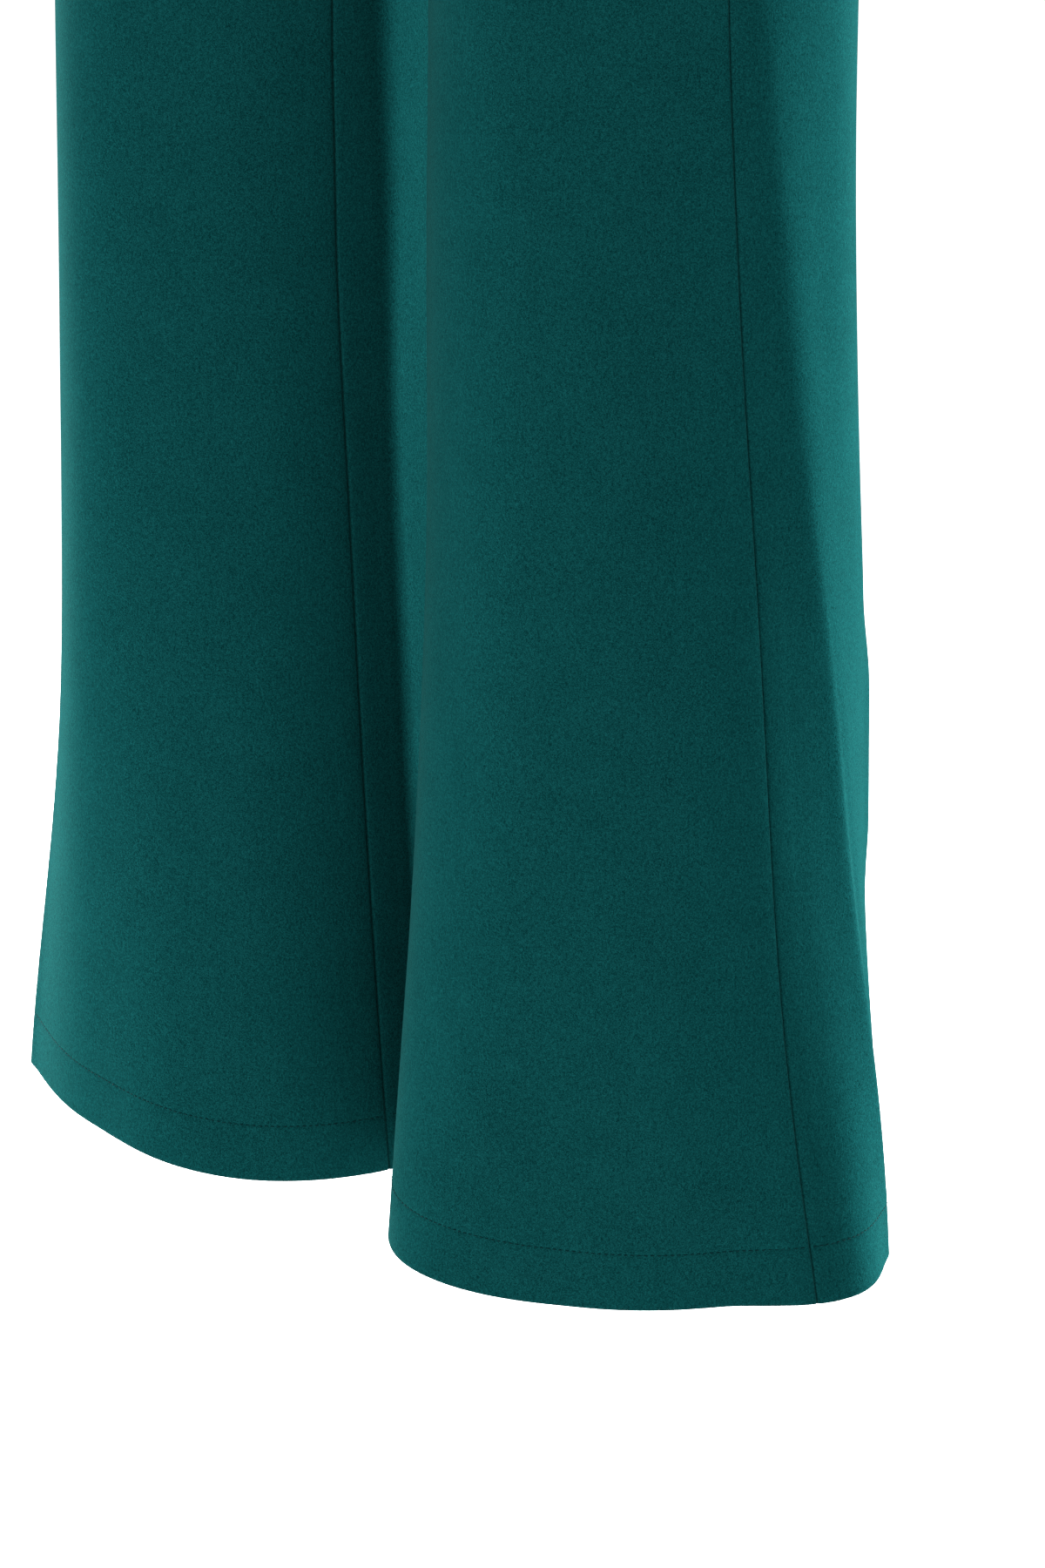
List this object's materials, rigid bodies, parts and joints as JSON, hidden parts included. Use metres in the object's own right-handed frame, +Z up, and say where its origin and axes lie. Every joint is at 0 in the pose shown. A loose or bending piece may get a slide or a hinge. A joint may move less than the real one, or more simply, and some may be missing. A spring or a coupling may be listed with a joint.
{
  "type": "flared trousers",
  "caption": "High-waisted flared trousers in worn shape: smooth wide legs that widen to open hems, a plain waistband and a concealed back zip.",
  "frame": {"origin": "middle of the waist, at half the height of the waistband, where the wearer holds the trousers up", "axes": "+Z up the length of the trousers, -Y to the wearer's front, +X to the wearer's left"},
  "size_m": [0.4994, 0.2412, 1.06],
  "materials": {
    "crepe": "matte, finely pebbled crepe with a soft sheen at glancing angles",
    "zip_tape": "matte woven tape",
    "zip_metal": "satin enamel dyed to match"
  },
  "bodies": {
    "trousers": {"front_left": "crepe", "front_right": "crepe", "back_left": "crepe", "back_right": "crepe", "waistband_front": "crepe", "waistband_back_left": "crepe", "waistband_back_right": "crepe", "zip_tape_left": "zip_tape", "zip_tape_right": "zip_tape", "zip_slider": "zip_metal"},
    "pull": {"zip_pull": "zip_metal"}
  },
  "joints": [
    {"name": "zip_pull_hinge", "type": "hinge", "parent": "trousers", "child": "pull", "pos_m": [0, 0.0915, 0.011], "axis": [1, 0, 0], "range_deg": [0, 170]}
  ]
}
